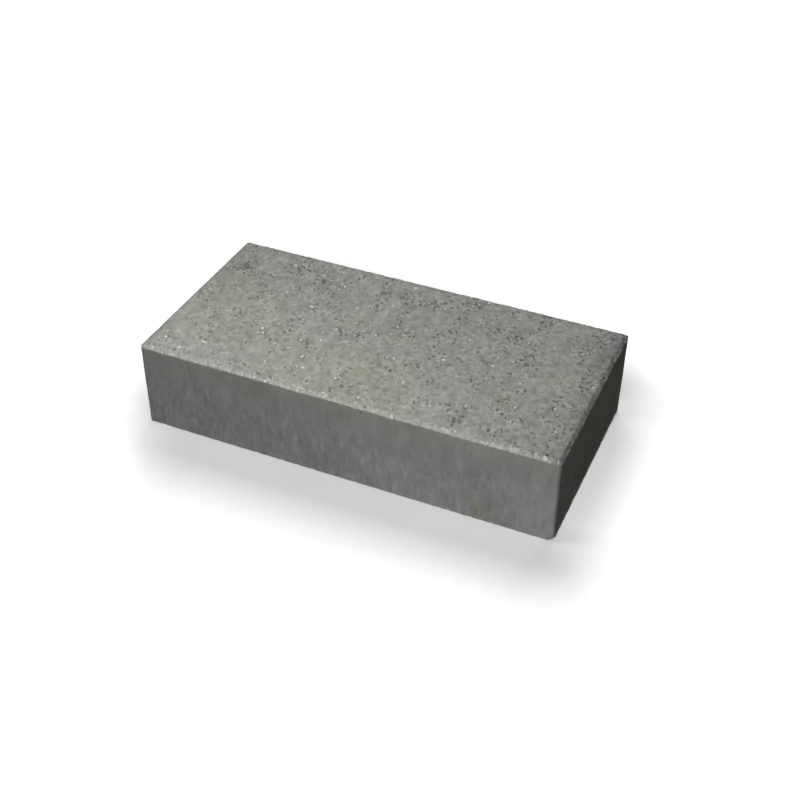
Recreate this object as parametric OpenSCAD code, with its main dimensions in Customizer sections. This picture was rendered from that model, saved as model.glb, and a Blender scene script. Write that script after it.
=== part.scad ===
// Solid retaining wall block, pressed in one piece from dry-cast concrete.
// It lies on its bed: +X runs along the wall, the wall face looks to -Y and +Z is up.
// The origin is the middle of the bed.

/* [Block] */
// Length along the wall
block_length = 450; // [280:5:700]
// Depth from the wall face to the back
block_depth = 225; // [140:5:350]
// Height of one course
block_height = 100; // [60:5:150]

/* [Edges] */
// Radius of the four upright corners
corner_radius = 4; // [2:0.5:12]
// Width of the pressed bevel round the top, seen from above
bevel_width = 3.5; // [1:0.5:12]
// Drop of the pressed bevel below the top
bevel_drop = 3.5; // [1:0.5:12]
// Width and rise of the small bevel round the bed
bed_bevel = 1; // [0.5:0.5:5]

/* [Hidden] */
// How far a section runs past the block at each end, so that only the outline cuts it
overrun = 5;
$fn = 64;

// Outline of the block from above: a rectangle with rounded corners.
module outline() {
    square([block_length - 2 * corner_radius, block_depth], center = true);
    square([block_length, block_depth - 2 * corner_radius], center = true);
    for (x = [-1, 1], y = [-1, 1])
        translate([x * (block_length / 2 - corner_radius), y * (block_depth / 2 - corner_radius)])
            circle(r = corner_radius);
}

// Right half of the upright section through a block of the given width, from the bed to the top.
function half_section(width) = [
    [width / 2 - bed_bevel, 0],
    [width / 2, bed_bevel],
    [width / 2, block_height - bevel_drop],
    [width / 2 - bevel_width, block_height],
];

// The same points on the left, from the top back to the bed.
function mirrored(points) = [for (i = [len(points) - 1:-1:0]) [-points[i].x, points[i].y]];

// A bar of that section, which runs along Y with the bed on the ground.
module bar(width, run) {
    right = half_section(width);
    rotate([90, 0, 0])
        linear_extrude(height = run + 2 * overrun, center = true)
            polygon(concat(right, mirrored(right)));
}

// The outline stands upright, and the two bars that cross in it bevel its edges,
// so that the bevels meet in mitres at the corners.
module wall_block() {
    color([0.56, 0.565, 0.54])
        intersection() {
            linear_extrude(height = block_height) outline();
            bar(block_length, block_depth);
            rotate([0, 0, 90]) bar(block_depth, block_length);
        }
}

wall_block();
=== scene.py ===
"""Looks of a retaining wall block pressed in one piece from dry-cast concrete.

The block is one closed mesh. It starts as the plain form of the CAD solid on a fine grid, and every
point then sinks a little along its normal: pits, missing paste and slight undulation on the pressed top,
drag streaks and pores on the drawn sides, crumbled arrises. Lengths are in metres unless a comment or a
docstring says millimetres.
"""
import math
import bpy
import numpy as np
from mathutils import Matrix, Vector


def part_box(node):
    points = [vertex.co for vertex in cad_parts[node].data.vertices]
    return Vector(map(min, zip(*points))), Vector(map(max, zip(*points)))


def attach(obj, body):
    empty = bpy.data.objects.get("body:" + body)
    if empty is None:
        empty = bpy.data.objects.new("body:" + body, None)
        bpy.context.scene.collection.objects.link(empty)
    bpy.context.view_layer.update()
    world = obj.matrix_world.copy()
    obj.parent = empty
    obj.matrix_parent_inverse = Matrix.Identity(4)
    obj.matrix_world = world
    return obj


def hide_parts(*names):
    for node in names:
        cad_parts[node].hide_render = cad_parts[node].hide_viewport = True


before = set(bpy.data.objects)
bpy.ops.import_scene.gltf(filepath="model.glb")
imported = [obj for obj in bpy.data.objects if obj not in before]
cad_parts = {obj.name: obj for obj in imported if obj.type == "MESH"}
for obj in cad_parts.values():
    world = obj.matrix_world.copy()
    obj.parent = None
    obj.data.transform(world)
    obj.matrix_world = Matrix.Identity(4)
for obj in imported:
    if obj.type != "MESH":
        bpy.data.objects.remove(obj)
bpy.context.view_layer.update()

MM = 0.001
LOW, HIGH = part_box("wall_block")
LENGTH, DEPTH, HEIGHT = HIGH - LOW

# The block's edges, as in the CAD solid.
CORNER = 4 * MM
BEVEL = 3.5 * MM
BED_BEVEL = 1 * MM

# The fine grid, how many triangles decimation leaves of it, and the angle from which an edge is sharp.
STEP = 0.7 * MM
SIDE_STEP = 1.5 * MM
KEPT_TRIANGLES = 196000
SHARP_ANGLE = math.radians(60)

# What stands out on the top of this block, in millimetres from its middle: where the paste is torn, and
# the largest pale grains.
TORN_SPOTS = ((-195, 60), (-140, 90), (-105, 75), (-85, 55), (-100, -10), (-25, 5), (30, 80), (60, 95),
              (60, -5), (95, -10), (120, 60), (140, 25), (165, -75), (110, -90), (210, -105))
LARGE_GRAINS = ((-195, -25), (-160, -30), (-125, -35), (-85, -55), (-60, -30), (-95, -85), (-185, -100),
                (-120, 55), (-25, 15), (0, 10), (105, 30), (150, -15), (-10, 100), (45, -60), (15, -100))

# Olive stains and pale or, below zero, dark patches: two places, a radius and a strength. On the top the
# places are x and y, and on the wall face they are x and the height, in millimetres as the radius.
STAINS = ((-190, 0, 90, 0.13), (-10, -85, 95, 0.13), (-98, -47, 13, 0.35), (0, -57, 14, 0.4),
          (-40, 18, 9, 0.25), (11, 3, 9, 0.25), (185, 8, 14, 0.2), (143, -45, 9, 0.25))
FRONT_STAINS = ((150, 15, 11, 0.4),)
PALE_PATCHES = ((-120, 5, 32, 0.7), (172, 0, 22, 0.7), (172, 55, 18, 0.6), (-100, -80, 28, 0.4),
                (85, -80, 38, 0.7), (-30, -75, 28, 0.45), (105, -25, 26, 0.35), (35, 85, 25, 0.35),
                (10, 35, 22, -0.5), (-195, 50, 28, -0.5))
FRONT_PATCHES = ((65, 45, 17, 1.3), (215, 45, 30, 0.9), (215, 8, 25, 0.9), (-10, 30, 22, -0.4),
                 (-190, 5, 30, 0.5))

# Marks in the top are drawn out this much, and this way from straight back, as the mix was struck off.
STRETCH = 1.3
STRUCK = math.radians(18)

# How many grooves and small grains there are.
STONES = 180
FINE_GRAINS = 320
PALE_GRAINS = 125
DULL_GRAINS = 90
GRAINS_PER_TORN_SPOT = 7
ARRIS_GRAINS = 520

# How deep the deepest marks of the top are, and how far the foot's worn corner is pushed in each way.
DEEPEST = 2.2 * MM
BLUNTING = 1.4 * MM


# ---------------------------------------------------------------- noise

def smoothstep(low, high, value):
    t = np.clip((value - low) / (high - low), 0, 1)
    return t * t * (3 - 2 * t)


def noise(rng, shape, steps, sizes, narrow=1, turn=0.0):
    """Seamless noise with no mean and a spread of 1, whose blobs are about sizes across (down, along).

    The higher narrow is, the more alike the blobs get in size, until they run together like worm tracks.
    """
    white = np.fft.rfft2(rng.standard_normal(shape))
    down = np.fft.fftfreq(shape[0], steps[0])[:, None]
    along = np.fft.rfftfreq(shape[1], steps[1])[None, :]
    frequency = np.hypot((down * math.cos(turn) - along * math.sin(turn)) * sizes[0],
                         (along * math.cos(turn) + down * math.sin(turn)) * sizes[1])
    band = (frequency * np.exp(-1.6 * frequency ** 2)) ** narrow
    field = np.fft.irfft2(white * band, shape)
    return field / field.std()


# ---------------------------------------------------------------- relief

class Patch:
    """A square window on the top's grid, with the place of each of its points as seen from an oval."""

    def __init__(self, x, y, cx, cy, size, oval, turn):
        row = np.searchsorted(y[:, len(x[0]) // 2], cy)
        column = np.searchsorted(x[len(x) // 2], cx)
        half = int(2.2 * size / STEP) + 1
        self.window = (slice(max(row - half, 0), row + half + 1),
                       slice(max(column - half, 0), column + half + 1))
        dx, dy = x[self.window] - cx, y[self.window] - cy
        along = dx * math.cos(turn) + dy * math.sin(turn)
        across = (dy * math.cos(turn) - dx * math.sin(turn)) / oval
        self.distance = np.hypot(along, across) / size
        self.angle = np.arctan2(across, along)


def stones(rng, x, y, count):
    """Grooves round stones just under the top, where the paste is missing along part of the rim."""
    groove = np.zeros_like(x)
    for _ in range(count):
        size, start = rng.uniform(2.0, 6.5) * MM, rng.uniform(0, 2 * math.pi)
        patch = Patch(x, y, rng.uniform(-0.5, 0.5) * LENGTH, rng.uniform(-0.5, 0.5) * DEPTH,
                      size, rng.uniform(0.55, 0.95), rng.normal(math.pi / 2 + STRUCK, 0.5))
        ragged = 1 + 0.10 * np.sin(3 * patch.angle + start) + 0.06 * np.sin(7 * patch.angle)
        crescent = np.exp(-((patch.distance - ragged) * size / (0.8 * MM)) ** 2)
        open_part = smoothstep(0.0, 0.8, np.cos(patch.angle - start)) * rng.uniform(0.3, 1)
        groove[patch.window] = np.maximum(groove[patch.window], crescent * open_part)
    return groove


def grains(rng, x, y, places, sizes, brightness, gaps=0.9, hug=0.1):
    """Grains in the top, each from 0 at its rim up to how bright it is, and the gaps beside them.

    The sizes are in millimetres. The gaps are up to that deep, and the lower hug is, the further they
    reach round their grain.
    """
    grain, gap = np.full_like(x, -1), np.zeros_like(x)
    for cx, cy in places:
        size = (sizes[0] + (sizes[1] - sizes[0]) * rng.random() ** 2) * MM
        patch = Patch(x, y, cx, cy, size, rng.uniform(0.45, 0.9), rng.normal(math.pi / 2 + STRUCK, 0.5))
        ragged = 0.22 * np.sin(2 * patch.angle + cx / MM) + 0.15 * np.sin(5 * patch.angle + cy / MM)
        rise = np.minimum(1 - patch.distance + ragged, rng.uniform(*brightness))
        grain[patch.window] = np.maximum(grain[patch.window], rise)
        beside = smoothstep(hug, 0.9, np.cos(patch.angle - rng.uniform(0, 2 * math.pi)))
        crescent = np.exp(-((patch.distance - 1.5) * size / (0.8 * MM)) ** 2) * beside
        gap[patch.window] = np.maximum(gap[patch.window], crescent * rng.uniform(0, gaps))
    return grain, gap


def spread(x, y, places):
    """Soft round spots, each given as x, y and radius in millimetres and the strength in its middle."""
    field = np.zeros_like(x)
    for cx, cy, radius, strength in places:
        field += strength * np.exp(-((x / MM - cx) ** 2 + (y / MM - cy) ** 2) / radius ** 2)
    return field


def scatter(rng, count):
    """Random places all over the top."""
    return rng.uniform(-0.5, 0.5, (count, 2)) * (LENGTH, DEPTH)


def round_about(rng, places, count, reach):
    """That many random places round each of the places in millimetres."""
    around = np.repeat(np.array(places) * MM, count, axis=0)
    return around + reach * rng.standard_normal(around.shape)


def top_grains(rng, x, y):
    """The grains in the top, the gaps beside them, and the small grains on the wall face's arris.

    The kinds are fine grains, pale ones, dim ones, the largest ones, and those in the torn spots.
    """
    kinds = [grains(rng, x, y, scatter(rng, FINE_GRAINS), (0.6, 1.3), (0.1, 1)),
             grains(rng, x, y, scatter(rng, PALE_GRAINS), (1.2, 2.5), (0.4, 1), 1.5),
             grains(rng, x, y, scatter(rng, DULL_GRAINS), (1.3, 2.6), (0.0, 0.3), 1.3, -0.5),
             grains(rng, x, y, np.array(LARGE_GRAINS) * MM, (1.6, 2.6), (0.9, 1)),
             grains(rng, x, y, round_about(rng, TORN_SPOTS, GRAINS_PER_TORN_SPOT, 7 * MM),
                    (0.9, 1.9), (0.3, 1), 1.6, -0.4)]
    grain, gap = (np.max(part, axis=0) for part in zip(*kinds))
    rows = -DEPTH / 2 + 4.0 * MM * rng.random(ARRIS_GRAINS)
    along_arris = np.column_stack([rng.uniform(-0.5, 0.475, ARRIS_GRAINS) * LENGTH, rows])
    on_arris, _ = grains(rng, x, y, along_arris, (0.5, 1.3), (0.1, 0.75))
    return grain, gap, on_arris


def top_relief(x, y):
    """What belongs to each point of the pressed top: its depth below the plane and its looks."""
    rng = np.random.default_rng(11)

    def marks(size, narrow=1):
        return noise(rng, x.shape, (STEP, STEP), (STRETCH * size * MM, size * MM), narrow, STRUCK)

    fine, middle, coarse, patches, cluster, swell, spots = (
        marks(size) for size in (2, 3.8, 8, 15, 25, 70, 4.3))
    worms, small_worms, curls = marks(4.7, narrow=4), marks(2.9, narrow=4), marks(3.3, narrow=3)
    torn = spread(x, y, [(*place, 12, 1) for place in TORN_SPOTS])
    lively = smoothstep(-1.2, 1.2, cluster + 0.7 * patches + 1.2 * torn)

    # The pressed paste is bumpy, with pale wisps and threads standing out on it.
    press = (0.4 * fine + 0.6 * middle) * (0.5 + 0.7 * lively) + 0.8 * coarse
    threads = smoothstep(0.5, 0.1, np.abs(small_worms)) * smoothstep(0.3, 1.3, middle - 0.5 * patches)
    wisps = (smoothstep(-0.3, 1.8, worms + 0.5 * patches) + 0.8 * threads) * (0.5 + 0.6 * lively)

    # Where paste is missing: pits, and lines torn between them. There are more along the right bevel.
    holes = 0.4 * spots - 0.6 * curls + 0.5 * coarse + 0.4 * cluster + 0.4 * y / DEPTH + 0.75 * torn - 0.1
    along_right = smoothstep(7, 3, (LENGTH / 2 - x) / MM)
    holes += 0.45 * along_right
    torn_lines = smoothstep(0.55, 0.15, np.abs(curls)) * smoothstep(0.7, 1.5, holes + 0.6 * curls)
    pit = np.maximum(smoothstep(1.65, 2.2, holes), 0.9 * torn_lines)
    groove = stones(rng, x, y, STONES)
    grain, gap, on_arris = top_grains(rng, x, y)

    # The wall face's arris is worn pale and also painted paler as a highlight, less so at its right end.
    # The other bevels are painted darker: painted shade.
    to_front = y + DEPTH / 2
    to_right = LENGTH / 2 - x
    to_others = np.minimum(np.minimum(to_right, LENGTH / 2 + x), DEPTH / 2 - y)
    wear_and_highlight = smoothstep(4.8, 0, to_front / MM + 0.9 * coarse) * (0.9 + 0.2 * np.clip(middle, -1, 1.5))
    wear_and_highlight *= 0.45 + 0.55 * smoothstep(4, 14, to_right / MM)
    bevel_shade = smoothstep(1.4, 1.1, to_others / BEVEL) * smoothstep(0.5, 1.0, to_others / BEVEL)

    depth = (0.28 * np.maximum(0, 1.2 - press) + 0.05 * (swell - swell.min()) - 0.30 * wisps
             + 1.0 * pit + 0.4 * smoothstep(0.8, 1.7, holes) + 0.8 * groove + 1.0 * gap
             - 0.15 * smoothstep(0, 0.3, grain))
    # The other rims stay nearly straight.
    depth = depth * (0.3 + 0.7 * smoothstep(0.2, 1.6, to_others / BEVEL))

    # Painted shade in the paste's tone: paler on its bumps, darker in its hollows and where paste is
    # missing, and darker toward the back.
    paste = (1.63 * wisps + 0.5 * press - 1.2 * smoothstep(0.3, 1.6, holes) + 0.25 * patches
             + 0.2 * coarse - 0.6 * smoothstep(0.5, 1.7, -coarse) + 0.2 * cluster
             - 0.4 * y / DEPTH + spread(x, y, PALE_PATCHES))
    # Painted highlight on the wall face's arris. Painted shade on the other bevels, within 10 mm of the
    # other rims and toward the right end, whose outermost 3 mm are paler.
    edges = (6.0 * wear_and_highlight + 0.6 * smoothstep(3.5, 0, to_front / MM) - 1.6 * bevel_shade
             - 0.7 * smoothstep(10, 3, to_others / MM) - 1.5 * smoothstep(28, 9, to_right / MM)
             + 2.2 * smoothstep(3, 0.5, to_right / MM))
    # The pit value darkens pits, grooves and the gaps beside grains: painted shade in these hollows.
    looks = {"pit": np.clip(pit + 0.6 * groove + 0.85 * gap, 0, 1),
             "grain": np.maximum(grain, on_arris),
             "tone": paste + edges,
             "stain": spread(x, y, STAINS),
             "neutral": 0.25 * smoothstep(0, 0.4, y / DEPTH),
             "calm": 0.5 * (1 - lively)}
    return np.clip(depth * MM, 0, DEEPEST), looks


def side_relief(points, steps):
    """What belongs to each point of the drawn sides, for rings from the bevel down."""
    rng = np.random.default_rng(23)
    shape = points.shape[:2]
    x, y, height = np.moveaxis(points, -1, 0)
    across = y / DEPTH
    streak, smear, blotch, mottle, spots = (
        noise(rng, shape, steps, (down * MM, along * MM))
        for down, along in ((60, 6), (30, 11), (36, 24), (12, 4.5), (6, 2.8)))
    strokes = noise(rng, shape, steps, (27 * MM, 5.5 * MM), narrow=3)
    on_front = smoothstep(CORNER, 0, DEPTH / 2 + y)
    on_ends = smoothstep(CORNER, 0, LENGTH / 2 - np.abs(x))
    rough = (0.2 + 0.8 * smoothstep(0.9, 0.45, height / HEIGHT)) * (1 - 0.3 * on_ends)
    pore = smoothstep(2.7, 3.6, spots + 0.5 * mottle + 1.0 * (rough - 1))
    pale_strokes = smoothstep(1.1, 1.9, strokes + 0.5 * mottle + 0.3 * blotch)
    dark_strokes = smoothstep(1.4, 2.1, 0.5 * mottle - strokes)
    depth = (0.04 * (streak + 3) + 0.06 * (smear + 3) + 0.08 * (mottle + 3) * rough + 0.8 * pore
             - 0.1 * pale_strokes + 0.2 * dark_strokes)

    # The foot is painted paler all round, most so on the ends: painted light where the floor's shade
    # falls.
    foot = (5.0 * smoothstep(3.5, 0.5, height / MM)
            + on_ends * (3 * smoothstep(25, 3, height / MM) + 5 * smoothstep(8, 3, height / MM) - 0.8))
    # In the tone, painted light and shade: the sides paler toward the bottom, and the ends darker above
    # the foot and paler toward the back.
    looks = {"pit": pore,
             "grain": np.full(shape, -1.0),
             "tone": ((0.17 * smear + 0.2 * blotch + 0.1 * streak) * (1 - 0.2 * on_ends)
                      + (1.35 * pale_strokes - 1.2 * dark_strokes) * rough
                      + (0.47 * mottle + 0.5 * spots) * rough * (1 + 0.6 * on_ends)
                      + 1.3 * (0.65 - height / HEIGHT) + 2.6 * on_ends * across
                      + on_front * spread(x, height, FRONT_PATCHES) + foot),
             "stain": (0.35 * on_ends * smoothstep(-0.45, -0.1, across)
                       + on_front * spread(x, height, FRONT_STAINS)),
             "neutral": (smoothstep(0.93, 0.6, height / HEIGHT + 0.05 * smear)
                         * (1 - on_ends * smoothstep(-0.45, -0.2, across))),
             "calm": 0.93 - 0.17 * rough}
    return np.maximum(depth, 0) * MM, looks


def bed_relief(shape):
    """What belongs to each point of the bed, which was cast on a steel plate and is flat but for pores."""
    rng = np.random.default_rng(37)
    spots, cluster, patches = (
        noise(rng, shape, (STEP, STEP), (size * MM, size * MM)) for size in (2.8, 20, 12))
    pore = smoothstep(2.4, 3.1, spots + 0.5 * cluster)
    looks = {"pit": pore,
             "grain": np.full(shape, -1.0),
             "tone": 0.6 * patches,
             "stain": np.zeros(shape),
             "neutral": np.full(shape, 0.7),
             "calm": np.full(shape, 0.5)}
    return 0.9 * pore * MM, looks


def crumble(count, steps):
    """How far an arris is crumbled away at each of its points."""
    rng = np.random.default_rng(41)
    worn = noise(rng, (1, count), steps, (1, 2.5 * MM))[0]
    chip = noise(rng, (1, count), steps, (1, 9 * MM))[0]
    return (0.12 + 0.05 * worn + 0.4 * smoothstep(1.5, 2.4, 0.7 * worn + 0.7 * chip)) * MM


def blunted(points):
    """Pushes the points round the front right corner of the foot in, where its tip is worn away."""
    tip = (LENGTH / 2 - BED_BEVEL, BED_BEVEL - DEPTH / 2, 0)
    near = smoothstep(7.5 * MM, 1 * MM, np.linalg.norm(points - tip, axis=-1))
    return points + BLUNTING * near[:, None] * (-1, 1, 1)


# ---------------------------------------------------------------- the block

def rounded(x, y):
    """Pulls the points of a rectangular grid in, so that its upright corners are round."""
    dx = np.abs(x) - (LENGTH / 2 - CORNER)
    dy = np.abs(y) - (DEPTH / 2 - CORNER)
    corner = (dx > 0) & (dy > 0)
    shrink = np.ones_like(x)
    shrink[corner] = np.maximum(dx, dy)[corner] / np.hypot(dx, dy)[corner]
    return (np.where(corner, np.sign(x) * (LENGTH / 2 - CORNER + dx * shrink), x),
            np.where(corner, np.sign(y) * (DEPTH / 2 - CORNER + dy * shrink), y))


def top_height(x, y):
    """Height of the CAD solid's top, with the bevel round it."""
    past = np.maximum(np.abs(x) - LENGTH / 2, np.abs(y) - DEPTH / 2) + BEVEL
    return HEIGHT - np.clip(past, 0, BEVEL)


def rim(grid):
    """The outer ring of a grid of values, once round from its first corner."""
    return np.concatenate([grid[0, :-1], grid[:-1, -1], grid[-1, :0:-1], grid[:0:-1, 0]])


def grid_faces(index):
    """Quads between the points of a grid of point numbers."""
    return np.stack([index[:-1, :-1], index[:-1, 1:], index[1:, 1:], index[1:, :-1]], -1).reshape(-1, 4)


def plain_top():
    """The points of the top: a fine grid with the upright corners rounded and the bevel pressed in."""
    columns, rows = round(LENGTH / STEP) + 1, round(DEPTH / STEP) + 1
    flat_x, flat_y = np.meshgrid(np.linspace(-LENGTH / 2, LENGTH / 2, columns),
                                 np.linspace(-DEPTH / 2, DEPTH / 2, rows))
    x, y = rounded(flat_x, flat_y)
    return np.stack([x, y, top_height(x, y)], -1)


def plain_sides(top):
    """Rings of points from the rim of the top down. The last ring is the rim of the bed."""
    x, y, rim_height = (rim(part) for part in np.moveaxis(top, -1, 0))
    half = np.array([LENGTH / 2, DEPTH / 2])
    outline = np.clip(np.stack([x, y], -1), -half, half)
    levels = np.linspace(1, 0, round(HEIGHT / SIDE_STEP))[1:]
    rings = [np.column_stack([outline, BED_BEVEL + (rim_height - BED_BEVEL) * level]) for level in levels]
    bed_rim = np.clip(outline, BED_BEVEL - half, half - BED_BEVEL)
    return np.array([*rings, np.column_stack([bed_rim, np.zeros_like(x)])])


def plain_bed(top):
    """The points of the bed, under those of the top."""
    x, y, _ = np.moveaxis(top, -1, 0)
    return np.stack([np.clip(x, BED_BEVEL - LENGTH / 2, LENGTH / 2 - BED_BEVEL),
                     np.clip(y, BED_BEVEL - DEPTH / 2, DEPTH / 2 - BED_BEVEL), np.zeros_like(x)], -1)


def block_quads(shape, rings):
    """Quads that face outward, over the points of the top, of the rings and of the inside of the bed."""
    rows, columns = shape
    top = np.arange(rows * columns).reshape(shape)
    sides = top.size + np.arange(rings * len(rim(top))).reshape(rings, -1)
    bed = np.full(shape, -1)
    bed[1:-1, 1:-1] = top.size + sides.size + np.arange((rows - 2) * (columns - 2)).reshape(rows - 2, -1)
    front, right, back, left = np.split(sides[-1], np.cumsum([columns - 1, rows - 1, columns - 1]))
    bed[0, :-1] = front
    bed[:-1, -1] = right
    bed[-1, :0:-1] = back
    bed[:0:-1, 0] = left
    wall = np.vstack([rim(top), sides])
    wall = np.column_stack([wall, wall[:, 0]])
    return np.concatenate([grid_faces(top), grid_faces(wall)[:, ::-1], grid_faces(bed)[:, ::-1]])


def block_mesh():
    """The block's fine mesh: points, quads, and the values that belong to each point."""
    top = plain_top()
    sides = plain_sides(top)
    bed = plain_bed(top)
    side_depth, side_looks = side_relief(sides, (SIDE_STEP, STEP))
    top_depth, top_looks = top_relief(top[..., 0], top[..., 1])
    bed_depth, bed_looks = bed_relief(bed.shape[:2])

    # The arrises crumble at the first ring and, twice as far, at the last two.
    worn = crumble(sides.shape[1], (SIDE_STEP, STEP))
    side_depth[0] += worn
    side_depth[-2:] += 2 * worn
    side_looks["tone"][-1] = 0

    def gather(of_top, of_sides, of_bed):
        """One row for each point, in the order that the quads count on."""
        parts = (of_top, of_sides, of_bed[1:-1, 1:-1])
        width = of_top.shape[2:] or (1,)
        return np.concatenate([part.reshape(-1, *width) for part in parts])

    points = blunted(gather(top, sides, bed))
    values = {name: gather(top_looks[name], side_looks[name], bed_looks[name]) for name in top_looks}
    values["depth"] = gather(top_depth, side_depth, bed_depth)
    return points, block_quads(top.shape[:2], len(sides)), values


def make_mesh(name, points, quads):
    mesh = bpy.data.meshes.new(name)
    mesh.vertices.add(len(points))
    mesh.vertices.foreach_set("co", points.astype(np.float32).ravel())
    mesh.loops.add(quads.size)
    mesh.loops.foreach_set("vertex_index", quads.astype(np.int32).ravel())
    mesh.polygons.add(len(quads))
    mesh.polygons.foreach_set("loop_start", np.arange(0, quads.size, 4, dtype=np.int32))
    mesh.update(calc_edges=True)
    return mesh


def make_fine_block():
    """The fine mesh with every point sunk along its normal, and the looks as attributes of the points."""
    points, quads, values = block_mesh()
    mesh = make_mesh("fine_block", points, quads)
    normals = np.zeros(points.size, np.float32)
    mesh.vertices.foreach_get("normal", normals)
    sunk = points - normals.reshape(-1, 3) * values.pop("depth")
    mesh.vertices.foreach_set("co", sunk.astype(np.float32).ravel())
    for name, value in values.items():
        attribute = mesh.attributes.new(name, "FLOAT", "POINT")
        attribute.data.foreach_set("value", value.astype(np.float32).ravel())
    mesh.update()
    return mesh


def make_block():
    """The block as it is seen: the fine mesh thinned out, smooth, and inside the solid's box."""
    fine = make_fine_block()
    block = bpy.data.objects.new("block", fine)
    bpy.context.scene.collection.objects.link(block)
    block.modifiers.new("thin", "DECIMATE").ratio = KEPT_TRIANGLES / (2 * len(fine.polygons))
    bpy.context.view_layer.update()
    thinned = bpy.data.meshes.new_from_object(block.evaluated_get(bpy.context.evaluated_depsgraph_get()))
    block.modifiers.clear()
    block.data = thinned
    bpy.data.meshes.remove(fine)
    thinned.name = "block"

    # Decimation may lift a point a hair out of the block's box.
    places = np.zeros(len(thinned.vertices) * 3, np.float32)
    thinned.vertices.foreach_get("co", places)
    places = np.clip(places.reshape(-1, 3), LOW, HIGH).astype(np.float32)
    thinned.vertices.foreach_set("co", places.ravel())
    thinned.polygons.foreach_set("use_smooth", np.ones(len(thinned.polygons), bool))
    thinned.set_sharp_from_angle(angle=SHARP_ANGLE)
    return block


# ---------------------------------------------------------------- materials

class Nodes:
    """A short way to write a material's or world's nodes: each call adds one and gives its output."""

    def __init__(self, owner):
        owner.use_nodes = True
        self.tree = owner.node_tree

    def add(self, kind, inputs, output=0, **settings):
        node = self.tree.nodes.new("ShaderNode" + kind)
        for key, value in settings.items():
            setattr(node, key, value)
        for key, value in inputs.items():
            self.put(value, node.inputs[key])
        return node.outputs[output]

    def put(self, value, socket):
        if isinstance(value, bpy.types.NodeSocket):
            self.tree.links.new(value, socket)
        else:
            socket.default_value = value

    def math(self, operation, *values):
        return self.add("Math", dict(enumerate(values)), operation=operation)

    def vector(self, operation, *values):
        return self.add("VectorMath", dict(enumerate(values)), operation=operation)

    def noise(self, vector, size, detail=2.0):
        """Noise from about -1 to 1, with blobs about size millimetres across."""
        value = self.add("TexNoise", {"Vector": vector, "Scale": 1 / size, "Detail": detail})
        return self.math("MULTIPLY_ADD", value, 4.0, -2.0)

    def step(self, low, high, value):
        """0 below low, 1 above high and smooth between them."""
        inputs = {"Value": value, "From Min": low, "From Max": high}
        return self.add("MapRange", inputs, interpolation_type="SMOOTHSTEP")

    def total(self, start, *terms):
        """start plus each factor times its value."""
        for factor, value in terms:
            start = self.math("MULTIPLY_ADD", value, factor, start)
        return start

    def mix(self, share, first, second):
        return self.add("Mix", {0: share, 6: first, 7: second}, output=2, data_type="RGBA")

    def attribute(self, name):
        return self.add("Attribute", {}, output="Fac", attribute_name=name)

    def shows_background(self):
        """1 for rays straight from the camera, off a shiny surface or through glass, and 0 for others."""
        kinds = ("Is Camera Ray", "Is Glossy Ray", "Is Transmission Ray")
        camera, glossy, through = (self.add("LightPath", {}, output=kind) for kind in kinds)
        return self.math("MAXIMUM", self.math("MAXIMUM", camera, glossy), through)


# Paste on the top, neutral paste on the sides, olive stains, pale grains, and the painted shade in the
# pits.
PASTE = (0.280, 0.283, 0.260, 1)
GREY_PASTE = (0.2795, 0.278, 0.2765, 1)
OLIVE = (0.27, 0.275, 0.19, 1)
QUARTZ = (0.75, 0.75, 0.72, 1)
SHADE = (0.085, 0.085, 0.077, 1)


def concrete():
    """Grey cement paste with sand in it, pale grains that lie open, and dark pits."""
    material = bpy.data.materials.new("concrete")
    nodes = Nodes(material)
    shader = nodes.tree.nodes["Principled BSDF"].inputs
    place = nodes.add("TexCoord", {}, output="Object")
    place = nodes.vector("MULTIPLY", place, (1 / MM,) * 3)
    pit, grain, tone, stain, neutral, calm = (
        nodes.attribute(name) for name in ("pit", "grain", "tone", "stain", "neutral", "calm"))

    # How bright the paste is: the points' own tone, and sand and flecks where it isn't calm.
    sand = nodes.add("TexVoronoi", {"Vector": place, "Scale": 1 / 1.7}, output="Color")
    sand = nodes.add("SeparateColor", {0: sand})
    tone = nodes.total(0.932, (0.10, tone), (0.07, nodes.noise(place, 45)))
    flecks = nodes.step(0.55, 1.0, nodes.noise(place, 2.2, detail=1))
    loud = nodes.total(-0.06, (0.11, sand), (0.05, nodes.noise(place, 1.4)),
                       (0.06, nodes.noise(place, 4.5)), (0.3, flecks))
    rough = nodes.total(1.2, (-1.2, calm))
    tone = nodes.math("MULTIPLY_ADD", loud, rough, tone)
    tone = nodes.add("CombineXYZ", {0: tone, 1: tone, 2: tone})

    neutral = nodes.step(0.0, 1.0, nodes.total(neutral, (0.15, nodes.noise(place, 40))))
    color = nodes.mix(neutral, PASTE, GREY_PASTE)
    color = nodes.mix(nodes.total(stain, (0.03, nodes.noise(place, 12))), color, OLIVE)
    color = nodes.vector("MULTIPLY", color, tone)

    # Grains with ragged rims, and the pits, pores and gaps beside grains painted dark: painted shade.
    rough_edge = nodes.math("MULTIPLY_ADD", nodes.noise(place, 0.9), 0.15, grain)
    bright = nodes.math("MULTIPLY_ADD", grain, 0.7, 0.3)
    pale = nodes.math("MULTIPLY", nodes.step(0.0, 0.25, rough_edge), bright)
    color = nodes.mix(pale, color, QUARTZ)
    color = nodes.mix(nodes.math("MULTIPLY", pit, 0.75), color, SHADE)
    nodes.put(color, shader["Base Color"])
    nodes.put(nodes.total(0.92, (-0.45, pale)), shader["Roughness"])
    nodes.put(0.03, shader["Specular IOR Level"])

    grit = nodes.math("ADD", nodes.noise(place, 0.7, detail=3), nodes.noise(place, 1.8))
    grit = nodes.math("MULTIPLY", grit, rough)
    bump = nodes.add("Bump", {"Strength": 0.6, "Distance": 0.12 * MM, "Height": grit})
    nodes.put(bump, shader["Normal"])
    return material


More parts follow.
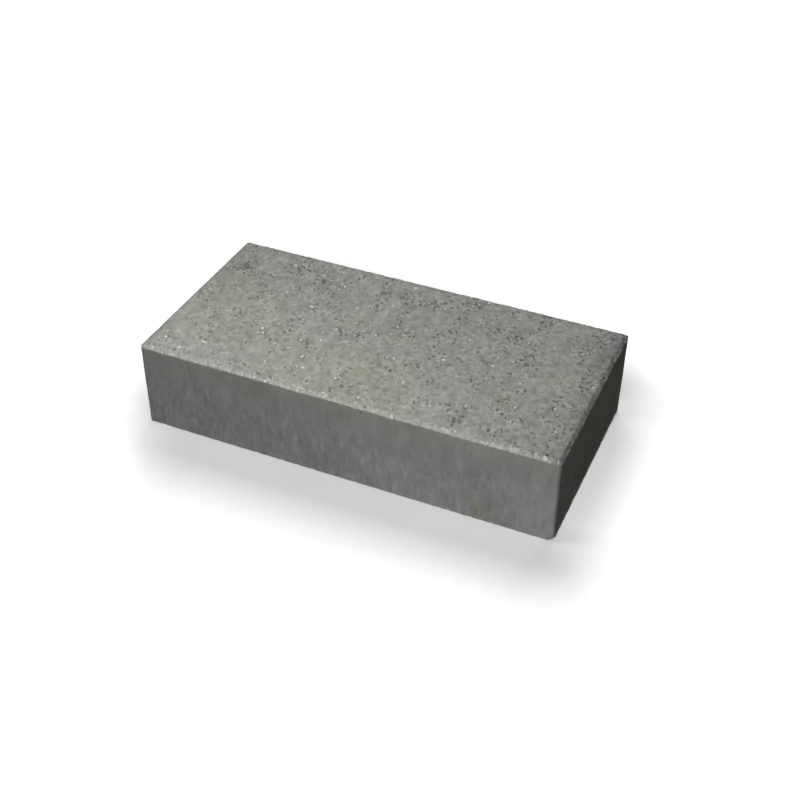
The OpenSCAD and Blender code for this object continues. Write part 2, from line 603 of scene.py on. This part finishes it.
# The floor's glow is shaped into a painted shadow over the real one: a rectangle round the block, its
# middle, its half sizes, and the glow that lifts it. Each spot, with its place, radius and strength, glows
# more or, below zero, less.
SHADOW_MIDDLE = (0, -0.019, 0)
SHADOW_HALF = (0.225, 0.131, 0)
SHADOW_LIFT = 0.112
SHADOW_SPOTS = (((-0.258, -0.182, 0), 0.106, 0.363), ((0.195, 0.152, 0), 0.135, -0.125),
                ((0.24, -0.14, 0), 0.037, -0.076), ((0.235, 0.108, 0), 0.021, -0.1))


def shadow_lift(nodes, place):
    """How much the floor glows at each place: little in the block's shadow, and more the further off."""
    x, y = (nodes.add("SeparateXYZ", {0: place}, output=axis) for axis in (0, 1))
    beyond = nodes.vector("ABSOLUTE", nodes.vector("SUBTRACT", place, SHADOW_MIDDLE))
    beyond = nodes.vector("MAXIMUM", nodes.vector("SUBTRACT", beyond, SHADOW_HALF), (0, 0, 0))
    beyond = nodes.add("VectorMath", {0: beyond}, output="Value", operation="LENGTH")
    outside = nodes.step(0.009, 0.111, beyond)
    far_off = nodes.step(0.15, 0.4, beyond)
    rightward = nodes.step(-0.073, 0.347, x)
    from_left_end = nodes.step(-0.21, -0.192, x)
    right = nodes.math("MULTIPLY", nodes.step(0.149, 0.23, x), nodes.step(-0.124, -0.072, y))
    behind = nodes.math("MULTIPLY", nodes.step(0.09, 0.15, y), nodes.step(0.24, 0.165, y))
    behind = nodes.math("MULTIPLY", behind, nodes.step(0.255, 0.215, nodes.math("ABSOLUTE", x)))
    right_foot = nodes.math("MULTIPLY", nodes.step(0.24, 0.225, x), nodes.step(-0.114, -0.104, y))
    right_foot = nodes.math("MULTIPLY", right_foot, nodes.step(0.108, 0.098, y))
    # The glow paints light and shadow: paler at the right end's foot, where the real shadow falls, and
    # toward the right; darker behind the block and at the spots below zero.
    lift = nodes.total(SHADOW_LIFT, (0.075, right_foot), (0.158, rightward), (0.232, outside),
                       (0.8, far_off), (0.18, right), (-0.19, behind), (-0.036, from_left_end))
    for middle, radius, strength in SHADOW_SPOTS:
        distance = nodes.add("VectorMath", {0: place, 1: middle}, output="Value", operation="DISTANCE")
        lift = nodes.total(lift, (strength, nodes.step(radius, 0.0, distance)))
    return lift


def floor_material():
    """The camera sees a white floor with the block's real and painted shadow. It throws little light back.
    """
    material = bpy.data.materials.new("floor")
    nodes = Nodes(material)
    nodes.tree.nodes.remove(nodes.tree.nodes["Principled BSDF"])
    lift = shadow_lift(nodes, nodes.add("TexCoord", {}, output="Object"))
    from_below = nodes.add("NewGeometry", {}, output="Backfacing")
    lift = nodes.math("MULTIPLY", lift, nodes.math("SUBTRACT", 1, from_below))
    glow = nodes.add("Emission", {"Color": (1, 1, 1, 1), "Strength": lift})
    pale = nodes.add("BsdfDiffuse", {"Color": (0.8, 0.8, 0.8, 1)})
    seen = nodes.add("AddShader", {0: pale, 1: glow})
    dim = nodes.add("BsdfDiffuse", {"Color": (0.08, 0.08, 0.08, 1)})
    both = nodes.add("MixShader", {0: nodes.shows_background(), 1: dim, 2: seen})
    nodes.put(both, nodes.tree.nodes["Material Output"].inputs["Surface"])
    return material


# ---------------------------------------------------------------- camera and light

# The camera looks at AIM from that far away, that many degrees round and up, and is rolled a little.
AIM = Vector((0.0283, -0.0288, 0.050))
DISTANCE = 1.2939
AZIMUTH = 23.349
ELEVATION = 37.996
ROLL = 0.622
LENS = 56.843

# Soft light from under the floor. It reaches only the bed, through the opening in the floor.
LIGHT_FROM_BELOW = 0.6


def direction(azimuth, elevation):
    """Unit vector away from the block. Azimuth 0 is out of the wall face, and 90 past the right end."""
    turn, rise = math.radians(azimuth), math.radians(elevation)
    return Vector((math.sin(turn) * math.cos(rise), -math.cos(turn) * math.cos(rise), math.sin(rise)))


def make_camera():
    data = bpy.data.cameras.new("camera")
    data.lens = LENS
    data.sensor_width = 36
    data.clip_start = 0.01
    camera = bpy.data.objects.new("camera", data)
    away = direction(AZIMUTH, ELEVATION)
    roll = Matrix.Rotation(math.radians(ROLL), 4, "Z")
    turned = away.to_track_quat("Z", "Y").to_matrix().to_4x4() @ roll
    camera.matrix_world = Matrix.Translation(AIM + DISTANCE * away) @ turned
    bpy.context.scene.collection.objects.link(camera)
    bpy.context.scene.camera = camera


def make_lamp(name, place, size, radiance, target=(0, 0, 0.05)):
    """A rectangular lamp of that radiance, which looks at the target."""
    data = bpy.data.lights.new(name, "AREA")
    data.shape = "RECTANGLE"
    data.size, data.size_y = size
    data.energy = radiance * math.pi * size[0] * size[1]
    lamp = bpy.data.objects.new(name, data)
    lamp.visible_camera = False
    place = Vector(place)
    turned = (place - Vector(target)).to_track_quat("Z", "Y").to_matrix().to_4x4()
    lamp.matrix_world = Matrix.Translation(place) @ turned
    bpy.context.scene.collection.objects.link(lamp)


def make_lamps():
    middle = Vector((0, 0, 0.05))
    make_lamp("key", (-0.18, -0.21, 0.5), (0.56, 0.2), 4.2, (-0.18, -0.21, 0))
    make_lamp("fill", middle + 0.81 * direction(15.0, 14.3), (0.86, 0.86), 1.58)
    make_lamp("back", middle + 1.33 * direction(183.5, 57.4), (0.8, 0.8), 6.65)
    make_lamp("low", (0.24, -0.45, 0.08), (0.2, 0.15), 1.7, (0.24, -0.11, 0.03))


def make_floor():
    """A wide floor, with an opening hidden under the block so that the bed shows from below."""
    half = 3.0
    level = 0.05 * MM
    overlap = 4 * MM
    around = np.array([(-1, -1), (1, -1), (1, 1), (-1, 1)])
    opening = around * (LENGTH / 2 - overlap, DEPTH / 2 - overlap)
    corners = np.column_stack([np.vstack([around * half, opening]), np.full(2 * len(around), level)])
    quads = np.array([[side, (side + 1) % 4, (side + 1) % 4 + 4, side + 4] for side in range(4)])
    floor = bpy.data.objects.new("floor", make_mesh("floor", corners, quads))
    floor.data.materials.append(floor_material())
    bpy.context.scene.collection.objects.link(floor)


def make_world():
    world = bpy.data.worlds.new("studio")
    bpy.context.scene.world = world
    nodes = Nodes(world)
    background = nodes.tree.nodes["Background"].inputs
    nodes.put((1, 1, 1, 1), background["Color"])
    upward = nodes.add("SeparateXYZ", {0: nodes.add("TexCoord", {}, output="Generated")}, output=2)
    below = nodes.math("MULTIPLY", nodes.step(-0.1, -0.3, upward), LIGHT_FROM_BELOW)
    nodes.put(nodes.math("MAXIMUM", nodes.shows_background(), below), background["Strength"])


make_camera()
block = make_block()
block.data.materials.append(concrete())
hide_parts("wall_block")
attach(block, "root")
make_floor()
make_world()
make_lamps()
bpy.context.scene.view_settings.view_transform = "Standard"
